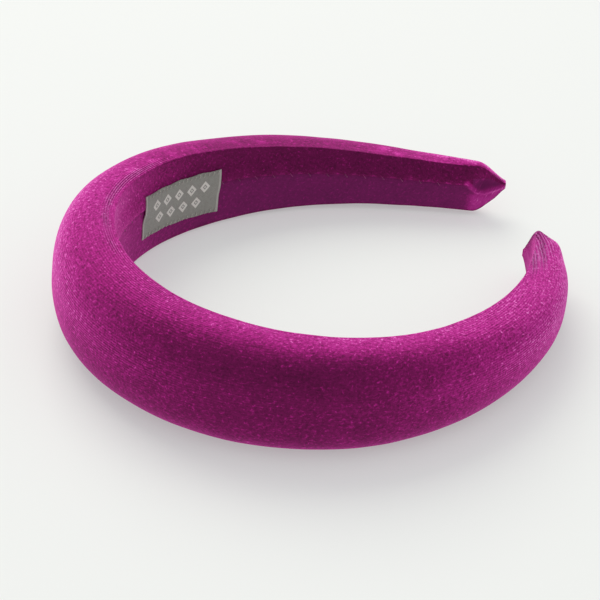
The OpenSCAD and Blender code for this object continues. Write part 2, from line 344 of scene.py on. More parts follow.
def coverRow(s):
    # one section of the cover, as points (r, z): from under the lap, round the band and back over the lap
    c = cover["columns"]
    side = left if s < 0 else right
    fromEnd = halfLength[side] - abs(s)
    height = bandSize(s)[0]
    seam = bandShape["seamShare"] * height
    lap = min(cover["lap"], cover["lapMost"][0] * height)
    rim, outer = crescentParts(s, 0)
    lowerRim = rim * [1, -1]
    parts = [
        evenPoints([(0, seam + lap), (0, seam)], c["under"], False),
        evenPoints([(0, seam), lowerRim[0]], c["lowerFace"], False),
        evenPoints(lowerRim, c["lowerRim"], False),
        evenPoints(outer[::-1], c["outer"], False),
        evenPoints(rim[::-1], c["upperRim"], False),
    ]
    fade = min(cover["lapFade"], cover["lapMost"][1] * height)
    sink = lap * cover["lapSink"]
    z = np.linspace(rim[0][1], seam, c["upperFace"])
    isSewn = float(smooth(fromEnd, *cover["lapEnd"]))
    rise = cover["lapRise"] * isSewn * (1 - smooth(z, seam + sink, seam + fade + sink))
    edge, edgeWidth = cover["lapEdge"]
    rise = rise * (edge + (1 - edge) * smooth(z, seam, seam + edgeWidth))
    parts.append(np.stack([-rise, z], 1))
    row = np.concatenate(parts)
    near = min(max(fromEnd / bandShape["tipLength"], 0), 1)
    row[:, 1] += bandShape["tipRise"][side] * (1 - near) ** bandShape["tipRisePower"]
    for at, r, lift, reachAlong, reachOut, end in tipEars[side]:
        isUp = smooth(row[:, 1] * end, *cover["earFade"])
        row[:, 1] += lift * hump(fromEnd, at, reachAlong) * hump(row[:, 0], r, reachOut) * isUp
    return row


def nearLine(a, z, points):
    # distance of the points (a, z) from a line through the given points
    best = np.full(np.shape(z), 1e9)
    for (a0, z0), (a1, z1) in zip(points, points[1:]):
        run, drop = a1 - a0, z1 - z0
        t = np.clip(((a - a0) * run + (z - z0) * drop) / (run * run + drop * drop), 0, 1)
        best = np.minimum(best, np.hypot(a - a0 - t * run, z - z0 - t * drop))
    return best


tipFold = {
    # places of the crease and the pocket: from the end, then height
    "crease": [(11.2, 2.2), (9.6, 0.4), (7.8, -0.9), (5.2, -1.0), (2.6, 0.4), (0.3, 2.0)],
    "creaseRise": 0.55,
    "creaseWidth": 0.75,
    "creaseEnd": 15,
    "creaseCrush": 0.9,
    "pocket": (5.6, 2.2, 3.4, 2.8),  # and its reach both ways
    "pocketDepth": 1.1,
    # painted shade: the cloth is painted darker in the pocket
    "pocketPaintedShade": -0.22,
    "rightShare": 0.2,  # how much of all this the right tip has
    # the bright cloth below the crease
    "lip": {"top": 1.0, "slope": 0.6, "drop": 2, "width": 2, "fade": (-12, -8), "crush": 1.2},
}


def paintedSheenShare(s, around, isFace):
    # each point's share of the painted sheen: less on the far arm and low on the outer face, which is painted
    # shade there, and more on the upper rim, a painted highlight
    alongShare = np.interp(s, *zip(*cover["sheenAlong"]))
    aroundShare = np.interp(around, *zip(*cover["sheenAround"]))
    return np.where(isFace, alongShare, alongShare * aroundShare)


def coverRidges(s, outFromCorner):
    # a running number that grows by one from ridge to ridge, and how deep the ridges are there
    if s > 0:
        k = cover["ribs"]
        fromEnd = halfLength[right] - s
        slant = k["slant"] * (1 - math.exp(-max(fromEnd, 0) / k["slantRun"]))
        share = float(smooth(fromEnd, *k["fadeIn"]) * (1 - smooth(fromEnd, *k["fadeOut"])))
        depth = k["depth"] * hump(outFromCorner, k["out"], k["reach"]) * share
        return (outFromCorner - slant) / k["pitch"], depth
    k = cover["folds"]
    out = k["out"] + k["moreOut"] * float(smooth(-s, *k["moreOutFade"]))
    share = float(smooth(-s, *k["fadeIn"]) * (1 - smooth(-s, *k["fadeOut"])))
    return outFromCorner / k["pitch"], hump(outFromCorner, out, k["reach"]) * share


def coverRelief(s, row, around):
    # how far each point of a row stands out, in millimetres, and what its pile and ridges do
    c = cover["columns"]
    side = left if s < 0 else right
    fromEnd = halfLength[side] - abs(s)
    count = len(row)
    index = np.arange(count)
    z = row[:, 1]
    isLapped = index >= count - c["upperFace"]
    isFace = (index < c["under"] + c["lowerFace"]) | isLapped
    seam = bandShape["seamShare"] * bandSize(s)[0]
    outFromCorner = around[count - c["upperFace"]] - around  # distance out from the inner rim's corner

    relief = np.zeros(count)
    for size, depth in cover["uneven"]:
        relief += depth * np.array([noise.noise((s / size, v / size, cover["unevenSeed"])) for v in around])
    margin = cover["labelMargin"]
    pastEnd = smooth(s, labelZone["end"] - margin, labelZone["end"])
    labelFree = 1 - pastEnd * (1 - smooth(s, labelZone["start"], labelZone["start"] + margin))
    relief *= np.where(isFace, labelFree, 1) * min(1, fromEnd / cover["unevenTip"])
    k = cover["stitches"]
    stitch = max(math.cos(2 * math.pi * s / k["pitch"]), 0)
    pull = k["dip"] * stitch ** k["power"] * min(1, fromEnd / k["tip"]) * labelFree
    relief -= np.where(isLapped, pull * hump(z, seam, k["reach"]), 0)
    t = tipFold
    foldShare = 1 if side == left else t["rightShare"]
    pocketAt, pocketUp, reachAlong, reachUp = t["pocket"]
    pocket = foldShare * hump(fromEnd, pocketAt, reachAlong) * hump(z, pocketUp, reachUp)
    crease = np.zeros(count)
    if fromEnd < t["creaseEnd"]:
        crease = foldShare * np.exp(-(nearLine(fromEnd, z, t["crease"]) / t["creaseWidth"]) ** 2)
    relief += np.where(isFace, t["creaseRise"] * crease - t["pocketDepth"] * pocket * (1 - crease), 0)

    crush = np.zeros(count)
    for at, r, reach in cover["crushMarks"]:
        spot = hump(s, at, reach) * hump(row[:, 0], r, reach * cover["crushMarkOut"]) * (z > 0)
        crush += np.where(index > count // 2, spot, 0)
    crush += np.where(isFace, t["creaseCrush"] * crease, 0)
    crush += hump(z, seam, k["crushReach"]) * isLapped * k["crush"] * stitch ** k["crushPower"]
    k = cover["patches"]
    blotch = np.array([noise.noise((s / k["size"][0], v / k["size"][1], k["seed"])) for v in around])
    upperRim = hump(outFromCorner, k["out"], k["reach"]) * (1 - isFace) * (z > 0)
    crush += upperRim * smooth(blotch, *k["patchy"]) * k["strength"] * float(smooth(-s, *k["fadeIn"]))
    k = t["lip"]
    lipTop = min(k["top"], k["slope"] * fromEnd - k["drop"])
    lip = isFace * float(smooth(-fromEnd, *k["fade"])) * smooth(-z, lipTop, lipTop + k["width"]) * foldShare
    # the lip is lighter, and the cloth in the pocket is painted darker, which is painted shade
    crush += k["crush"] * lip + np.where(isFace, t["pocketPaintedShade"] * pocket * (1 - crease), 0)
    nap = np.where(isFace & ~isLapped, 1.0, 0.0)
    k = cover["wales"]
    waleAlong = k["all"] + k["crown"] * hump(s, *k["crownAt"]) + k["arm"] * float(smooth(s, *k["armFade"]))
    wale = np.where(isFace, k["onFace"], smooth(around, *k["aroundFade"])) * waleAlong
    ridge, ridgeDepth = coverRidges(s, outFromCorner)
    # lean: each point's share of the painted sheen
    lean = paintedSheenShare(s, around, isFace)
    return relief, np.stack([crush.clip(*cover["crushLimits"]), nap, ridge, ridgeDepth, lean, wale], 1)


def coverLengths():
    both = []
    for side in (left, right):
        end = halfLength[side]
        shoulder = end - cover["tipRows"]
        body = np.linspace(0, shoulder, int(shoulder / cover["rowPitch"]) + 1)[:-1]
        tip = np.linspace(shoulder, end, int(cover["tipRows"] / cover["tipRowPitch"]) + 1)
        both.append(np.concatenate([body, tip]))
    return np.concatenate([-both[0][:0:-1], both[1]])


def closeTip(side, points, spread, marks):
    # the folded end turns in past the last row. The left tip is the first row, so all is turned round for it.
    points, spread, marks = points[::side], spread[::side], marks[::side]
    edge = points[-1]
    run = (edge - points[-2]).mean(0)
    run /= np.linalg.norm(run)
    centre = edge.mean(0)
    rows = np.array([centre + (edge - centre) * share + run * out * mm for out, share in cover["endRows"]])
    flats = np.array([spread[-1] + [side * out * mm, 0] for out, share in cover["endRows"]])
    same = np.repeat(marks[-1:], len(rows), 0)
    joined = ((points, rows), (spread, flats), (marks, same))
    return [np.concatenate(pair)[::side] for pair in joined]


def makeCoverSheet():
    # the whole outer skin in metres, where each point lies on the flat cloth, and the marks of its pile
    c = cover["columns"]
    middle = c["under"] + c["lowerFace"] + c["lowerRim"] + c["outer"] // 2
    points, spread, marks = [], [], []
    for s in coverLengths():
        row = coverRow(s)
        steps = np.concatenate([[0], np.cumsum(np.linalg.norm(np.diff(row, axis=0), axis=1))])
        around = steps - steps[middle]
        relief, mark = coverRelief(s, row, around)
        tangent = np.gradient(row, axis=0)
        tangent /= np.linalg.norm(tangent, axis=1)[:, None].clip(1e-9)
        row = row + np.stack([tangent[:, 1], -tangent[:, 0]], 1) * relief[:, None]
        side = left if s < 0 else right
        reach = bandShape["tipReach"][side] * hump(halfLength[side] - abs(s), 0, bandShape["tipReachRun"])
        ahead = np.array(place(s, 0, 0)) - np.array(place(s - 0.1 * side, 0, 0))  # a tenth of a millimetre
        points.append(np.stack(place(s, row[:, 0], row[:, 1]), 1) + ahead / 0.1 * reach)
        spread.append(np.stack([np.full(len(row), s * mm), around * mm], 1))
        marks.append(mark)
    sheet = np.array(points), np.array(spread), np.array(marks)
    for side in (left, right):
        sheet = closeTip(side, *sheet)
    return sheet


def clothSolve(points, held):
    # the grid of points after Blender's cloth has run on it under pressure, held at the marked points
    k = cover["swell"]
    index = np.arange(points.shape[0] * points.shape[1]).reshape(points.shape[:2])
    faces = np.stack([index[1:, :-1], index[1:, 1:], index[:-1, 1:], index[:-1, :-1]], -1).reshape(-1, 4)
    mesh = bpy.data.meshes.new("coverCloth")
    mesh.from_pydata(points.reshape(-1, 3).tolist(), [], faces.tolist())
    cloth = bpy.data.objects.new("coverCloth", mesh)
    bpy.context.scene.collection.objects.link(cloth)
    group = cloth.vertex_groups.new(name="held")
    group.add(index[held].tolist(), 1.0, "REPLACE")
    sim = cloth.modifiers.new("cloth", "CLOTH")
    sim.settings.vertex_group_mass = "held"
    sim.settings.mass = k["mass"]
    sim.settings.tension_stiffness = k["stiffness"]
    sim.settings.compression_stiffness = k["stiffness"]
    sim.settings.shear_stiffness = k["stiffness"]
    sim.settings.bending_stiffness = k["bending"]
    sim.settings.shrink_min = -k["slack"]
    sim.settings.use_pressure = True
    sim.settings.uniform_pressure_force = k["pressure"]
    sim.settings.effector_weights.gravity = 0
    sim.point_cache.frame_end = k["frames"]
    for number in range(1, k["frames"] + 1):
        bpy.context.scene.frame_set(number)
    solved = cloth.evaluated_get(bpy.context.evaluated_depsgraph_get())
    co = np.zeros(index.size * 3)
    solved.data.vertices.foreach_get("co", co)
    bpy.data.objects.remove(cloth)
    bpy.context.scene.frame_set(1)
    return co.reshape(points.shape)


def swollenSheet(points):
    # the cover swells over its foam, held by its inner face and both tips. The cloth runs on every few rows
    # and columns. It starts a little small, and how far each point moves is capped and smoothed.
    c = cover["columns"]
    k = cover["swell"]
    rowCount, columnCount = points.shape[:2]
    faceEnd, faceStart = c["under"] + c["lowerFace"], columnCount - c["upperFace"]
    rows = np.unique(np.append(np.arange(0, rowCount, k["rowStep"]), rowCount - 1))
    columns = np.unique(np.append(np.arange(0, columnCount, k["columnStep"]), columnCount - 1))
    alongShare = np.abs(np.arange(rowCount) - rowCount / 2) / (rowCount / 2)
    freeRow = 1 - smooth(alongShare, *k["heldTip"])
    freeColumn = smooth(np.arange(columnCount), faceEnd, faceEnd + k["heldRim"])
    freeColumn *= 1 - smooth(np.arange(columnCount), faceStart - k["heldRim"], faceStart)
    free = freeRow[:, None] * freeColumn[None, :]
    small = points - sheetNormals(points) * (free * k["startSmall"] * mm)[:, :, None]
    picked = np.ix_(rows, columns)
    move = clothSolve(small[picked], free[picked] < k["heldBelow"]) - small[picked]
    far = np.linalg.norm(move, axis=2)
    print("cover cloth swelled by", round(far.max() / mm, 2), "mm at most, mean", round(far.mean() / mm, 2))
    move *= np.minimum(1, k["cap"] * mm / far.clip(1e-9))[:, :, None]
    for _ in range(k["relax"]):  # each point takes the mean of itself and its four neighbours
        around = move[:-2, 1:-1] + move[2:, 1:-1] + move[1:-1, :-2] + move[1:-1, 2:]
        move[1:-1, 1:-1] = (move[1:-1, 1:-1] + around) / 5
    across = np.array([[np.interp(np.arange(columnCount), columns, line) for line in row.T] for row in move])
    byColumn = across.transpose(1, 0, 2)
    fine = np.array([[np.interp(np.arange(rowCount), rows, line) for line in axis.T] for axis in byColumn])
    return small + fine.transpose(2, 1, 0)


def sheetNormals(points):
    along = np.gradient(points, axis=0)
    around = np.gradient(points, axis=1)
    normal = np.cross(along, around)
    return normal / np.linalg.norm(normal, axis=2)[:, :, None].clip(1e-12)


def makeCoverHalf(side, points, spread, marks, normals, middleRow, material):
    # a closed shell: outer skin, inner skin, the two cut edges, the tip and the cut at the crown
    rows = slice(0, middleRow + 1) if side == left else slice(middleRow, len(points))
    p, uv, m, n = points[rows], spread[rows], marks[rows], normals[rows]
    count, columns = p.shape[:2]
    inner = p - n * cover["wall"] * mm
    total = count * columns
    index = np.arange(total).reshape(count, columns)
    a, b = index[:-1, :-1], index[:-1, 1:]
    c, d = index[1:, 1:], index[1:, :-1]
    skin = np.stack([d, c, b, a], -1).reshape(-1, 4)
    faces = [skin, skin[:, ::-1] + total]
    borders = ((index[:, 0], False), (index[:, -1], True), (index[0, :], True), (index[-1, :], False))
    for line, turned in borders:
        wall = np.stack([line[:-1], line[1:], line[1:] + total, line[:-1] + total], -1)
        faces.append(wall[:, ::-1] if turned else wall)
    faces = np.concatenate(faces)
    co = np.concatenate([p.reshape(-1, 3), inner.reshape(-1, 3)])
    mesh = bpy.data.meshes.new("cover" + sideName[side])
    mesh.from_pydata(co.tolist(), [], faces.tolist())
    loopVertex = np.zeros(len(mesh.loops), int)
    mesh.loops.foreach_get("vertex_index", loopVertex)
    flatUv = np.concatenate([uv.reshape(-1, 2)] * 2)
    layer = mesh.uv_layers.new(name="cloth")
    layer.data.foreach_set("uv", flatUv[loopVertex].ravel())
    flatMarks = np.concatenate([m.reshape(-1, len(cover["marks"]))] * 2)
    for k, name in enumerate(cover["marks"]):
        attribute = mesh.attributes.new(name, "FLOAT", "POINT")
        attribute.data.foreach_set("value", flatMarks[:, k].copy())
    mesh.shade_smooth()
    loopNormal = np.concatenate([n.reshape(-1, 3), -n.reshape(-1, 3)])[loopVertex]
    mesh.normals_split_custom_set(loopNormal.tolist())
    return newPiece("cover" + sideName[side], mesh, material)


velvetLook = {
    "pile": [(0.0, "#500d38"), (0.22, "#761354"), (0.5, "#ac1f80"), (0.75, "#d03aa3"), (1.0, "#ee86d3")],
    "lowerFlap": "#8a3279",
    "flapShare": 0.3,
    "sheen": "#ff72d2",
    "sheenWeight": 0.7,
    "sheenRoughness": 0.4,
    "roughness": 0.92,
    "specular": 0.1,
    "grain": 0.46,  # size in millimetres of the leaning tufts, drawn coarser than the real 0.2 to show
    "grainNoise": {"Detail": 2.0, "Roughness": 0.8, "Distortion": 0.6},
    "mottle": 7.0,
    "mottleNoise": {"Detail": 5.0, "Roughness": 0.6},
    "waleWobble": 0.9,
    "base": 0.10,
    "paintedSheen": 0.86,  # painted sheen: how much lighter the colour is painted edge on than head on
    "grainShade": (0.45, 1.9),  # speckle head on, and how much it grows edge on
    "sheenTiltUp": 0.16,  # the normal that the painted sheen reads is tilted a little upwards, which moves its dark head-on patch lower and paints the upper rim lighter
    "sparkleFrom": 0.6,  # only the tufts that lean the most catch the light
    "sparkle": 1.6,
    "mottleShade": 0.24,
    "waleShade": 0.05,
    # painted shade across the folds and ribs: the colour lighter on each crest and darker in each groove
    "ridgePaintedShade": 0.12,
    "ridgedShade": 0.09,  # where there are ridges the cloth is lighter all over
    "ridgedCalm": -0.3,  # and less speckled
    # weight of the crush mark, which carries crushed pile and the painted shade in the tip's pocket
    "crushAndPocketShade": 0.42,
    "waleBump": 0.04,
    "grainBump": 0.15,
    "ridgeBump": 0.30,
}


def velvetMaterial():
    # knitted stretch velvet, crushed a little: short upright pile, with a painted sheen that makes its colour
    # dark head on and bright edge on, specks where tufts lean, painted shade across its folds and ribs, and
    # the knit's wales showing through along its length
    m = newMaterial("stretchVelvet")
    k = velvetLook

    uv = addNode(m, "ShaderNodeUVMap", uv_map="cloth")
    cloth = addNode(m, "ShaderNodeVectorMath", {"Scale": 1 / mm}, {0: uv.outputs["UV"]}, operation="SCALE")
    grain = addNode(m, "ShaderNodeTexNoise", {"Scale": 0.5 / k["grain"], **k["grainNoise"]},
                    {"Vector": cloth.outputs[0]})
    mottle = addNode(m, "ShaderNodeTexNoise", {"Scale": 1 / k["mottle"], **k["mottleNoise"]},
                     {"Vector": cloth.outputs[0]})
    parts = addNode(m, "ShaderNodeSeparateXYZ", links={0: cloth.outputs[0]})
    wobble = addNode(m, "ShaderNodeMath", {1: k["waleWobble"]},
                     {0: mottle.outputs["Fac"], 2: parts.outputs["Y"]}, operation="MULTIPLY_ADD")
    wobble = addNode(m, "ShaderNodeMath", {1: 2 * math.pi / cover["wales"]["pitch"]}, {0: wobble.outputs[0]},
                     operation="MULTIPLY")
    wales = addNode(m, "ShaderNodeMath", links={0: wobble.outputs[0]}, operation="SINE")
    marks = [addNode(m, "ShaderNodeAttribute", attribute_name=name) for name in cover["marks"]]
    crush, nap, ridge, depth, lean, wale = (mark.outputs["Fac"] for mark in marks)
    wales = addNode(m, "ShaderNodeMath", links={0: wales.outputs[0], 1: wale}, operation="MULTIPLY")
    # the folds and ribs: in the bump, and as painted shade in the colour
    ridges = addNode(m, "ShaderNodeMath", {1: 2 * math.pi}, {0: ridge}, operation="MULTIPLY")
    ridges = addNode(m, "ShaderNodeMath", links={0: ridges.outputs[0]}, operation="SINE")
    ridges = addNode(m, "ShaderNodeMath", links={0: ridges.outputs[0], 1: depth}, operation="MULTIPLY")
    bump = addNode(m, "ShaderNodeBump", {"Strength": 1.0, "Distance": k["waleBump"] * mm},
                   {"Height": wales.outputs[0]})
    bump = addNode(m, "ShaderNodeBump", {"Strength": 1.0, "Distance": k["ridgeBump"] * mm},
                   {"Height": ridges.outputs[0], "Normal": bump.outputs[0]})
    # painted sheen: the colour is lighter where the pile is seen edge on, read from a normal tilted a little
    # upwards, times the mark lean
    pile = addNode(m, "ShaderNodeVectorMath", {1: (0, 0, k["sheenTiltUp"])}, {0: bump.outputs[0]},
                   operation="ADD")
    pile = addNode(m, "ShaderNodeVectorMath", links={0: pile.outputs[0]}, operation="NORMALIZE")
    edge = addNode(m, "ShaderNodeLayerWeight", {"Blend": 0.5}, {"Normal": pile.outputs[0]})
    edge = addNode(m, "ShaderNodeMath", links={0: edge.outputs["Facing"], 1: lean}, operation="MULTIPLY")
    bump = addNode(m, "ShaderNodeBump", {"Strength": 1.0, "Distance": k["grainBump"] * mm},
                   {"Height": grain.outputs["Fac"], "Normal": bump.outputs[0]})

    speck = addNode(m, "ShaderNodeMath", {1: 0.5}, {0: grain.outputs["Fac"]}, operation="SUBTRACT")
    headOn, growth = k["grainShade"]
    grainShade = addNode(m, "ShaderNodeMath", {1: growth, 2: headOn}, {0: edge.outputs[0]},
                         operation="MULTIPLY_ADD")
    calm = addNode(m, "ShaderNodeMath", {1: k["ridgedCalm"], 2: 1.0}, {0: depth}, operation="MULTIPLY_ADD")
    grainShade = addNode(m, "ShaderNodeMath", links={0: grainShade.outputs[0], 1: calm.outputs[0]},
                         operation="MULTIPLY")
    shade = addNode(m, "ShaderNodeMath", links={0: speck.outputs[0], 1: grainShade.outputs[0]},
                    operation="MULTIPLY")
    sparkle = addNode(m, "ShaderNodeMath", {1: k["sparkleFrom"]}, {0: grain.outputs["Fac"]},
                      operation="SUBTRACT")
    sparkle = addNode(m, "ShaderNodeMath", {1: 0.0}, {0: sparkle.outputs[0]}, operation="MAXIMUM")
    mottleShade = addNode(m, "ShaderNodeMath", {1: 0.5}, {0: mottle.outputs["Fac"]}, operation="SUBTRACT")
    # painted into the colour: the sheen as edge, the shade across the folds and ribs as ridges, and the
    # pocket's shade within crush
    layers = (
        (edge.outputs[0], "paintedSheen"),
        (mottleShade.outputs[0], "mottleShade"),
        (sparkle.outputs[0], "sparkle"),
        (wales.outputs[0], "waleShade"),
        (ridges.outputs[0], "ridgePaintedShade"),
        (depth, "ridgedShade"),
        (crush, "crushAndPocketShade"),
    )
    for source, weight in layers:
        shade = addNode(m, "ShaderNodeMath", {1: k[weight]}, {0: source, 2: shade.outputs[0]},
                        operation="MULTIPLY_ADD")
    shade = addNode(m, "ShaderNodeMath", {1: k["base"]}, {0: shade.outputs[0]}, operation="ADD")
    ramp = addNode(m, "ShaderNodeValToRGB", links={"Fac": shade.outputs[0]})
    stops = ramp.color_ramp.elements
    stops[0].color = linearColour(k["pile"][0][1])
    stops[1].color = linearColour(k["pile"][-1][1])
    for at, tone in k["pile"][1:-1]:
        stops.new(at).color = linearColour(tone)
    flap = addNode(m, "ShaderNodeMath", {1: k["flapShare"]}, {0: nap}, operation="MULTIPLY")
    colour = addNode(m, "ShaderNodeMix", data_type="RGBA")
    colour.inputs[7].default_value = linearColour(k["lowerFlap"])
    m.node_tree.links.new(flap.outputs[0], colour.inputs[0])
    m.node_tree.links.new(ramp.outputs["Color"], colour.inputs[6])
    shader = addNode(m, "ShaderNodeBsdfPrincipled",
                     {"Roughness": k["roughness"], "Specular IOR Level": k["specular"],
                      "Sheen Weight": k["sheenWeight"], "Sheen Roughness": k["sheenRoughness"],
                      "Sheen Tint": linearColour(k["sheen"])},
                     {"Base Color": colour.outputs[2], "Normal": bump.outputs[0]})
    return endMaterial(m, shader)


velvet = velvetMaterial()
sheetPoints, sheetSpread, sheetMarks = makeCoverSheet()
sheetPoints = swollenSheet(sheetPoints)
sheetNormal = sheetNormals(sheetPoints)
middleRow = int(np.argmin(np.abs(sheetSpread[:, 0, 0])))
for side in (left, right):
    piece = makeCoverHalf(side, sheetPoints, sheetSpread, sheetMarks, sheetNormal, middleRow, velvet)
    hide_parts("cover_crown", "cover_arm_" + sideName[side].lower())
    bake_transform(piece)
print("stage 3: cover")

# Foam pad: crescent, cut from one block, lying over the core

foam = {
    "inset": 1.15,
    "overCore": 2.5,
    "endMargin": 14,
    "rowPitch": 3,
    "across": 40,
    "sharpAngle": 50,
    "cell": 0.7,
    "cellDepth": 0.3,
    "tones": ("#cfc39c", "#f3ebce"),
}


def foamMaterial():
    # cream polyurethane foam, sliced: matt, with open cells about 0.7 mm across
    m = newMaterial("openCellFoam")
    where = addNode(m, "ShaderNodeTexCoord")
    cells = addNode(m, "ShaderNodeTexVoronoi", {"Scale": 1 / (foam["cell"] * mm)},
                    {"Vector": where.outputs["Object"]})
    tone = addNode(m, "ShaderNodeValToRGB", links={"Fac": cells.outputs["Distance"]})
    for stop, colour in zip(tone.color_ramp.elements, foam["tones"]):
        stop.color = linearColour(colour)
    bump = addNode(m, "ShaderNodeBump", {"Strength": 0.8, "Distance": foam["cellDepth"] * mm},
                   {"Height": cells.outputs["Distance"]})
    shader = addNode(m, "ShaderNodeBsdfPrincipled", {"Roughness": 0.95, "Specular IOR Level": 0.2},
                     {"Base Color": tone.outputs["Color"], "Normal": bump.outputs[0]})
    return endMaterial(m, shader)


def makeFoam(side, material):
    end = halfLength[side] - foam["endMargin"]
    stations = np.linspace(0, end, int(end / foam["rowPitch"]) + 1)
    rows = []
    for s in stations:
        rim, outer = crescentParts(side * s, foam["inset"])
        ring = np.concatenate([rim[:-1], outer, (rim * [1, -1])[::-1][1:]])
        ring[:, 0] = np.maximum(ring[:, 0], foam["overCore"])
        ring = evenPoints(np.concatenate([ring, ring[:1]]), foam["across"], False)
        rows.append(np.stack(place(side * s, ring[:, 0], ring[:, 1]), 1))
    rows = np.array(rows)
    count, columns = rows.shape[:2]
    index = np.arange(count * columns).reshape(count, columns)
    turned = np.roll(index, -1, axis=1)
    skin = np.stack([index[:-1], turned[:-1], turned[1:], index[1:]], -1).reshape(-1, 4)
    ends = [index[0][::-1], index[-1]]
    faces = [face[::side].tolist() for face in (*skin, *ends)]  # the left half is a mirror image
    mesh = bpy.data.meshes.new("foam" + sideName[side])
    mesh.from_pydata(rows.reshape(-1, 3).tolist(), [], faces)
    mesh.shade_smooth()
    obj = newPiece("foam" + sideName[side], mesh, material)
    pickOnly(obj)
    bpy.ops.object.shade_smooth_by_angle(angle=math.radians(foam["sharpAngle"]))
    obj.select_set(False)
    return obj


foamLook = foamMaterial()
for side in (left, right):
    piece = makeFoam(side, foamLook)
    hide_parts("foam_crown", "foam_arm_" + sideName[side].lower())
    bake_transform(piece)
print("stage 4: foam")

# Core: a thin moulded strip under the inner face, tapered, with rounded ends

core = {
    "inner": 1.15,
    "outer": 2.35,
    "crownHeight": 20,
    "endHeight": 7.5,
    "taperPower": 1.6,
    "endMargin": 9,
    "bluntFrom": 0.985,  # share of the length past which the corners of the end are cut back
    "bluntCut": 0.8,
    "cutPitch": 4,
    "edgeRadius": 0.35,
    "grain": 0.4,
    "grainDepth": 0.05,
    "tones": ("#26262a", "#333338"),
}


def plasticMaterial():
    # injection-moulded nylon, charcoal: satin, with a faint moulded grain about 0.4 mm across
    m = newMaterial("mouldedNylon")
    where = addNode(m, "ShaderNodeTexCoord")
    grain = addNode(m, "ShaderNodeTexNoise", {"Scale": 1 / (core["grain"] * mm), "Detail": 2.0},
                    {"Vector": where.outputs["Object"]})
    tone = addNode(m, "ShaderNodeValToRGB", links={"Fac": grain.outputs["Fac"]})
    for stop, colour in zip(tone.color_ramp.elements, core["tones"]):
        stop.color = linearColour(colour)
    bump = addNode(m, "ShaderNodeBump", {"Strength": 0.4, "Distance": core["grainDepth"] * mm},
                   {"Height": grain.outputs["Fac"]})
    shader = addNode(m, "ShaderNodeBsdfPrincipled", {"Roughness": 0.45, "IOR": 1.53},
                     {"Base Color": tone.outputs["Color"], "Normal": bump.outputs[0]})
    return endMaterial(m, shader)


def makeCore(side, material):
    length = (halfLength[side] - core["endMargin"]) * mm
    thick = (core["outer"] - core["inner"]) * mm
    bpy.ops.object.select_all(action="DESELECT")
    middle = (side * length / 2, -(core["inner"] * mm + thick / 2), 0)
    bpy.ops.mesh.primitive_cube_add(size=1, location=middle, scale=(length, thick, core["crownHeight"] * mm))
    strip = bpy.context.object
    strip.name = "core" + sideName[side]
    bpy.ops.object.transform_apply(location=True, rotation=False, scale=True)
    bpy.ops.object.mode_set(mode="EDIT")
    cuts = int(length / mm / core["cutPitch"])
    for cut in range(1, cuts):
        bpy.ops.mesh.select_all(action="SELECT")
        bpy.ops.mesh.bisect(plane_co=(side * length * cut / cuts, 0, 0), plane_no=(1, 0, 0))
    bpy.ops.object.mode_set(mode="OBJECT")
    for v in strip.data.vertices:
        share = abs(v.co.x) / length
        taper = 1 - share ** core["taperPower"]
        height = core["endHeight"] + (core["crownHeight"] - core["endHeight"]) * taper
        nearEnd = max((share - core["bluntFrom"]) / (1 - core["bluntFrom"]), 0)
        blunt = math.sqrt(1 - nearEnd ** 2 * core["bluntCut"])
        v.co.z *= height / core["crownHeight"] * blunt
    rounded = strip.modifiers.new("edge", "BEVEL")
    rounded.width = core["edgeRadius"] * mm
    rounded.segments = 2
    rounded.limit_method = "ANGLE"
    rounded.angle_limit = math.radians(50)
    applyModifiers(strip)
    layAlong(strip)
    strip.data.materials.append(material)
    pickOnly(strip)
    bpy.ops.object.shade_smooth_by_angle(angle=math.radians(40))
    strip.select_set(False)
    return strip


nylon = plasticMaterial()
for side in (left, right):
    piece = makeCore(side, nylon)
    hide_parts("core_crown", "core_arm_" + sideName[side].lower())
    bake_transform(piece)
print("stage 5: core")

# Thread: one stitch is modelled, then copied along the seam and round the label

stitching = {
    "seamPitch": 6.0,
    "seamLength": 1.5,
    "seamThick": 0.24,
    "seamMargin": 18,
    "seamSink": 0.35,  # how far the stitch stands in from the inner face, as a share of the lap's rise
    "seamDrop": 0.1,
    "seamSlant": 0.9,
    "labelPitch": 1.75,
    "labelLength": 1.1,
    "labelThick": 0.26,
    "labelInset": 0.7,
    "labelEnds": (1.2, 0.6),  # how far from the label's short edges the stitches start and stop
    "labelSink": 0.1,
    "labelSlant": 1.25,
    "flatten": 0.45,
    "twist": 0.3,
    "twistDepth": 0.06,
}


def threadMaterial(name, dark, bright):
    # polyester sewing thread: two plies twisted, so light and dark slants about 0.3 mm apart
    m = newMaterial(name)
    where = addNode(m, "ShaderNodeTexCoord")
    k = stitching
    waves = 2 * math.pi / (20 * k["twist"] * mm)  # Blender's wave turns by roughly 20 for each unit of scale
    twist = addNode(m, "ShaderNodeTexWave", {"Scale": waves, "Distortion": 1.0},
                    {"Vector": where.outputs["Object"]}, bands_direction="DIAGONAL")
    tone = addNode(m, "ShaderNodeValToRGB", links={"Fac": twist.outputs["Fac"]})
    tone.color_ramp.elements[0].color = linearColour(dark)
    tone.color_ramp.elements[1].color = linearColour(bright)
    bump = addNode(m, "ShaderNodeBump", {"Strength": 0.5, "Distance": k["twistDepth"] * mm},
                   {"Height": twist.outputs["Fac"]})
    shader = addNode(m, "ShaderNodeBsdfPrincipled", {"Roughness": 0.5, "Sheen Weight": 0.1},
                     {"Base Color": tone.outputs["Color"], "Normal": bump.outputs[0]})
    return endMaterial(m, shader)


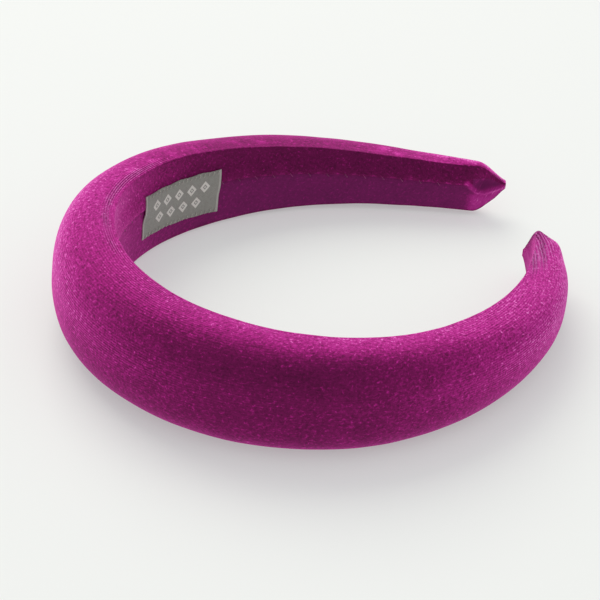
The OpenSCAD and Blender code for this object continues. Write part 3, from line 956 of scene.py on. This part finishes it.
def makeStitch(length, thick):
    # half a ring, flattened: the part of a stitch that shows, its ends going down into the cloth
    bpy.ops.object.select_all(action="DESELECT")
    bpy.ops.mesh.primitive_torus_add(major_radius=length / 2 * mm, minor_radius=thick / 2 * mm,
                                     major_segments=16, minor_segments=6)
    stitch = bpy.context.object
    bpy.ops.object.mode_set(mode="EDIT")
    bpy.ops.mesh.select_all(action="SELECT")
    bpy.ops.mesh.bisect(plane_co=(0, 0, 0), plane_no=(0, -1, 0), clear_outer=True, use_fill=True)
    bpy.ops.mesh.select_all(action="SELECT")
    bpy.ops.transform.resize(value=(1, stitching["flatten"], 1))
    bpy.ops.object.mode_set(mode="OBJECT")
    bpy.ops.object.shade_smooth()
    stitch.select_set(False)
    return stitch


def sewStitches(name, stitch, spots, material):
    # each spot is a length, an outward distance, a height and a slant
    copies = []
    for s, r, z, slant in spots:
        one = stitch.copy()
        one.data = stitch.data.copy()
        bpy.context.scene.collection.objects.link(one)
        one.data.transform(Matrix.Translation((s * mm, -r * mm, z * mm)) @ Matrix.Rotation(slant, 4, "Y"))
        copies.append(one)
    bpy.data.objects.remove(stitch)
    bpy.ops.object.select_all(action="DESELECT")
    for one in copies:
        one.select_set(True)
    bpy.context.view_layer.objects.active = copies[0]
    bpy.ops.object.join()
    sewn = copies[0]
    sewn.name = name
    layAlong(sewn)
    sewn.data.materials.append(material)
    sewn.select_set(False)
    return sewn


seamThread = threadMaterial("polyesterSeamThread", "#5c0a40", "#962570")
labelThread = threadMaterial("polyesterLabelThread", "#8f8f84", "#d9d8cc")
for side in (left, right):
    k = stitching
    spots = []
    r = -cover["lapRise"] * k["seamSink"]
    for s in np.arange(k["seamPitch"] / 2, halfLength[side] - k["seamMargin"], k["seamPitch"]):
        if side == left and labelZone["end"] < -s < labelZone["start"]:
            continue
        seam = bandShape["seamShare"] * bandSize(side * s)[0]
        spots.append((side * s, r, seam - k["seamDrop"], side * k["seamSlant"]))
    stitch = makeStitch(k["seamLength"], k["seamThick"])
    piece = sewStitches("seamThread" + sideName[side], stitch, spots, seamThread)
    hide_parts("seam_thread_crown", "seam_thread_" + sideName[side].lower())
    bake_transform(piece)
print("stage 6: seam thread")

# Label: a woven satin strip over the seam, its two long edges sewn down

label = {
    "across": 65,
    "up": 30,
    "thick": 0.28,
    "lift": 0.22,
    "lapUp": (5.5, 0.2),  # it rises onto the lap between these distances below the seam
    "lapDown": (1.8, 9.0),  # and comes down again between these above it
    "wave": 0.12,  # its long edges waver a little
    "wavePower": 6,
    "waveTurn": 0.75,
    "uneven": (5, 0.10),  # size and height
    "unevenSeed": 1.3,
    "pucker": 0.05,  # and rise between the stitches
    "puckerPower": 8,
    "puckerTurn": 3.6,
    "threads": {"X": 0.42, "Y": 0.5},
    "threadDepth": 0.07,
    "motif": 5.2,
    "motifSize": (1.9, 2.1),  # half the width and height of a lozenge
    "motifRows": ((2.7, 0.0, 12.9), (-2.6, 2.6, 10.3)),  # height, shift and half length of each row
    "motifRing": (0.72, 0.28),
    "motifEye": 0.22,
    "selvedge": 15.55,  # half the distance between the borders at the short ends
    "selvedgeShare": 0.35,
    "tones": ((0.2, "#80817a"), (0.9, "#a6a79d")),
    "bright": "#e6e5dd",
}


def labelLift(s, z):
    seam = bandShape["seamShare"] * bandSize(s)[0]
    onto = smooth(z, seam - label["lapUp"][0], seam - label["lapUp"][1])
    over = onto * (1 - smooth(z, seam + label["lapDown"][0], seam + label["lapDown"][1]))
    return label["lift"] + cover["lapRise"] * float(over)


def satinMaterial():
    # woven polyester satin, olive grey: floats of thread along its length with a soft gloss, a plain
    # border and two rows of woven lozenges. Its threads are about 0.25 mm apart, drawn at 0.5 to show.
    m = newMaterial("wovenSatin")
    uv = addNode(m, "ShaderNodeUVMap", uv_map="cloth")
    cloth = addNode(m, "ShaderNodeVectorMath", {"Scale": 1 / mm}, {0: uv.outputs["UV"]}, operation="SCALE")
    parts = addNode(m, "ShaderNodeSeparateXYZ", links={0: cloth.outputs[0]})
    lines = []
    for axis, pitch in label["threads"].items():
        angle = addNode(m, "ShaderNodeMath", {1: 2 * math.pi / pitch}, {0: parts.outputs[axis]},
                        operation="MULTIPLY")
        lines.append(addNode(m, "ShaderNodeMath", links={0: angle.outputs[0]}, operation="SINE"))
    weave = addNode(m, "ShaderNodeMath", links={0: lines[0].outputs[0], 1: lines[1].outputs[0]},
                    operation="MULTIPLY")
    fibres = addNode(m, "ShaderNodeTexNoise", {"Scale": 0.9, "Detail": 3.0}, {"Vector": cloth.outputs[0]})

    def lozenges(rowHeight, shift):
        # 1 inside the lozenges of one row
        half, tall = label["motifSize"]
        x = addNode(m, "ShaderNodeMath", {1: shift}, {0: parts.outputs["X"]}, operation="ADD")
        x = addNode(m, "ShaderNodeMath", {1: label["motif"] / 2}, {0: x.outputs[0]}, operation="PINGPONG")
        x = addNode(m, "ShaderNodeMath", {1: half}, {0: x.outputs[0]}, operation="DIVIDE")
        y = addNode(m, "ShaderNodeMath", {1: rowHeight}, {0: parts.outputs["Y"]}, operation="SUBTRACT")
        y = addNode(m, "ShaderNodeMath", links={0: y.outputs[0]}, operation="ABSOLUTE")
        y = addNode(m, "ShaderNodeMath", {1: tall}, {0: y.outputs[0]}, operation="DIVIDE")
        both = addNode(m, "ShaderNodeMath", links={0: x.outputs[0], 1: y.outputs[0]}, operation="ADD")
        middle, width = label["motifRing"]
        ring = addNode(m, "ShaderNodeMath", {1: middle, 2: width}, {0: both.outputs[0]}, operation="COMPARE")
        eye = addNode(m, "ShaderNodeMath", {1: label["motifEye"]}, {0: both.outputs[0]},
                      operation="LESS_THAN")
        return addNode(m, "ShaderNodeMath", links={0: ring.outputs[0], 1: eye.outputs[0]},
                       operation="MAXIMUM")

    patterns = [lozenges(rowHeight, shift) for rowHeight, shift, end in label["motifRows"]]
    reach = addNode(m, "ShaderNodeMath", links={0: parts.outputs["X"]}, operation="ABSOLUTE")
    rows = []
    for pattern, (rowHeight, shift, end) in zip(patterns, label["motifRows"]):
        inside = addNode(m, "ShaderNodeMath", {1: end}, {0: reach.outputs[0]}, operation="LESS_THAN")
        rows.append(addNode(m, "ShaderNodeMath", links={0: pattern.outputs[0], 1: inside.outputs[0]},
                            operation="MULTIPLY"))
    motif = addNode(m, "ShaderNodeMath", links={0: rows[0].outputs[0], 1: rows[1].outputs[0]},
                    operation="MAXIMUM")
    selvedge = addNode(m, "ShaderNodeMath", {1: label["selvedge"]}, {0: reach.outputs[0]},
                       operation="GREATER_THAN")
    selvedge = addNode(m, "ShaderNodeMath", {1: label["selvedgeShare"]}, {0: selvedge.outputs[0]},
                       operation="MULTIPLY")
    light = addNode(m, "ShaderNodeMath", links={0: motif.outputs[0], 1: selvedge.outputs[0]},
                    operation="MAXIMUM")
    shade = addNode(m, "ShaderNodeMath", {1: 0.22, 2: 0.3}, {0: weave.outputs[0]}, operation="MULTIPLY_ADD")
    shade = addNode(m, "ShaderNodeMath", {1: 0.5}, {0: fibres.outputs["Fac"], 2: shade.outputs[0]},
                    operation="MULTIPLY_ADD")
    ground = addNode(m, "ShaderNodeValToRGB", links={"Fac": shade.outputs[0]})
    for stop, (at, tone) in zip(ground.color_ramp.elements, label["tones"]):
        stop.position = at
        stop.color = linearColour(tone)
    colour = addNode(m, "ShaderNodeMix", data_type="RGBA")
    m.node_tree.links.new(light.outputs[0], colour.inputs[0])
    m.node_tree.links.new(ground.outputs["Color"], colour.inputs[6])
    colour.inputs[7].default_value = linearColour(label["bright"])
    raised = addNode(m, "ShaderNodeMath", {1: 0.8}, {0: motif.outputs[0], 2: weave.outputs[0]},
                     operation="MULTIPLY_ADD")
    bump = addNode(m, "ShaderNodeBump", {"Strength": 0.8, "Distance": label["threadDepth"] * mm},
                   {"Height": raised.outputs[0]})
    shader = addNode(m, "ShaderNodeBsdfPrincipled",
                     {"Roughness": 0.42, "Specular IOR Level": 0.5, "Sheen Weight": 0.2, "Anisotropic": 0.4},
                     {"Base Color": colour.outputs[2], "Normal": bump.outputs[0]})
    return endMaterial(m, shader)


def makeLabel(material):
    zone = labelZone
    width, height = abs(zone["end"] - zone["start"]), zone["high"] - zone["low"]
    bpy.ops.object.select_all(action="DESELECT")
    bpy.ops.mesh.primitive_grid_add(x_subdivisions=label["across"], y_subdivisions=label["up"], size=1)
    piece = bpy.context.object
    piece.name = "label"
    flat = np.array([(v.co.x * width, v.co.y * height) for v in piece.data.vertices])
    middleS, middleZ = (zone["start"] + zone["end"]) / 2, (zone["low"] + zone["high"]) / 2
    size, depth = label["uneven"]
    for v, (u, w) in zip(piece.data.vertices, flat):
        s = middleS - u
        edge = abs(w) / height * 2
        z = middleZ + w + label["wave"] * edge ** label["wavePower"] * math.sin(u * label["waveTurn"] + w)
        uneven = depth * noise.noise((u / size, w / size, label["unevenSeed"]))
        pucker = label["pucker"] * edge ** label["puckerPower"] * math.cos(u * label["puckerTurn"])
        v.co = (s * mm, (labelLift(s, z) + uneven + pucker) * mm, z * mm)
    layAlong(piece)
    setClothMap(piece, flat)
    wall = piece.modifiers.new("wall", "SOLIDIFY")
    wall.thickness = label["thick"] * mm
    wall.offset = 0
    applyModifiers(piece)
    piece.data.materials.append(material)
    pickOnly(piece)
    bpy.ops.object.shade_smooth_by_angle(angle=math.radians(50))
    piece.select_set(False)
    return piece


piece = makeLabel(satinMaterial())
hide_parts("label")
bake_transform(piece)

k = stitching
spots = []
for z in (labelZone["low"] + k["labelInset"], labelZone["high"] - k["labelInset"]):
    first, last = labelZone["end"] + k["labelEnds"][0], labelZone["start"] - k["labelEnds"][1]
    for s in np.arange(first, last, k["labelPitch"]):
        spots.append((s, -labelLift(s, z) - k["labelSink"], z, k["labelSlant"]))
piece = sewStitches("labelStitches", makeStitch(k["labelLength"], k["labelThick"]), spots, labelThread)
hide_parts("label_stitches")
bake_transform(piece)
print("stage 7: label")

# Tip tucks: the gathered end of the cover, pushed back inside each folded tip

tuck = {
    "depth": 5.0,
    "proud": 0.25,
    "width": 1.5,
    "height": 1.9,
    "sides": 42,
    "rings": 8,
    "pleats": 7,
    "pleatDepth": 0.22,
    "pleatFade": 0.3,  # how much shallower the pleats are at the inner end
    "mouthShare": 0.35,  # how much narrower the plug is at the opening
    "riseFade": 0.6,
    "lean": 1.1,  # its share of the painted sheen, a little over the full amount, so it is bright
}


def makeTuck(side, material):
    bpy.ops.object.select_all(action="DESELECT")
    bpy.ops.mesh.primitive_cylinder_add(vertices=tuck["sides"], radius=0.5, depth=1, end_fill_type="TRIFAN")
    piece = bpy.context.object
    piece.name = "tipTuck" + sideName[side]
    bpy.ops.object.mode_set(mode="EDIT")
    for cut in range(1, tuck["rings"]):
        bpy.ops.mesh.select_all(action="SELECT")
        bpy.ops.mesh.bisect(plane_co=(0, 0, cut / tuck["rings"] - 0.5), plane_no=(0, 0, 1))
    bpy.ops.object.mode_set(mode="OBJECT")
    end = halfLength[side]
    thick = bandSize(side * end)[1]
    flat = []
    for v in piece.data.vertices:
        depth = 0.5 - v.co.z  # 0 at the opening, 1 inside
        angle = math.atan2(v.co.y, v.co.x)
        size = 2 * math.hypot(v.co.x, v.co.y)
        pleat = 1 + tuck["pleatDepth"] * math.cos(tuck["pleats"] * angle) * (1 - tuck["pleatFade"] * depth)
        spread = (1 - tuck["mouthShare"] * (1 - depth) ** 3) * pleat * size / 2
        s = side * (end + tuck["proud"] - depth * tuck["depth"])
        r = thick / 2 + math.cos(angle) * spread * tuck["width"]
        middle = bandShape["tipRise"][side] * (1 - tuck["riseFade"] * depth)
        z = middle + math.sin(angle) * spread * tuck["height"]
        flat.append((s, angle * size))
        v.co = place(s, r, z)
    setClothMap(piece, flat)
    # its share of the painted sheen
    lean = piece.data.attributes.new("lean", "FLOAT", "POINT")
    lean.data.foreach_set("value", [tuck["lean"]] * len(piece.data.vertices))
    piece.data.materials.append(material)
    bpy.ops.object.mode_set(mode="EDIT")
    bpy.ops.mesh.select_all(action="SELECT")
    bpy.ops.mesh.normals_make_consistent(inside=False)
    bpy.ops.object.mode_set(mode="OBJECT")
    bpy.ops.object.shade_smooth()
    piece.select_set(False)
    return piece


for side in (left, right):
    piece = makeTuck(side, velvet)
    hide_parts("tip_tuck_" + sideName[side].lower())
    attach(piece, armBody[side])
print("stage 8: tip tucks")

# Floor and light

studio = {
    "floorSize": 6,
    "floor": "#c0c1bf",
    "glow": "#f4f7f6",
    "glowStrength": 0.38,  # the board gives off a little light, which keeps the shadows pale
    "world": "#f5f8f9",
    "worldStrength": 0.71,
    "window": {"at": (-2.0, 0.5, 2.1), "size": 2.3, "power": 54.0, "colour": "#fffaf2"},
}


def addStudio(v):
    bpy.ops.object.select_all(action="DESELECT")
    bpy.ops.mesh.primitive_plane_add(size=v["floorSize"], location=(0, 0, 0))
    floor = bpy.context.object
    floor.name = "floor"
    m = newMaterial("paintedBoard")
    shader = addNode(m, "ShaderNodeBsdfPrincipled",
                     {"Base Color": linearColour(v["floor"]), "Roughness": 0.7, "Specular IOR Level": 0.2,
                      "Emission Color": linearColour(v["glow"]), "Emission Strength": v["glowStrength"]})
    endMaterial(m, shader)
    floor.data.materials.append(m)
    world = bpy.data.worlds.new("studio")
    bpy.context.scene.world = world
    world.use_nodes = True
    world.node_tree.nodes["Background"].inputs["Color"].default_value = linearColour(v["world"])
    world.node_tree.nodes["Background"].inputs["Strength"].default_value = v["worldStrength"]
    bpy.context.scene.view_settings.view_transform = "Standard"


def addLight(name, v):
    data = bpy.data.lights.new(name, "AREA")
    data.size = v["size"]
    data.energy = v["power"]
    data.color = linearColour(v["colour"])[:3]
    light = bpy.data.objects.new(name, data)
    light.location = v["at"]
    light.rotation_euler = (-Vector(v["at"])).to_track_quat("-Z", "Y").to_euler()
    bpy.context.scene.collection.objects.link(light)


addStudio(studio)
addLight("windowLight", studio["window"])
print("stage 9: floor and light")
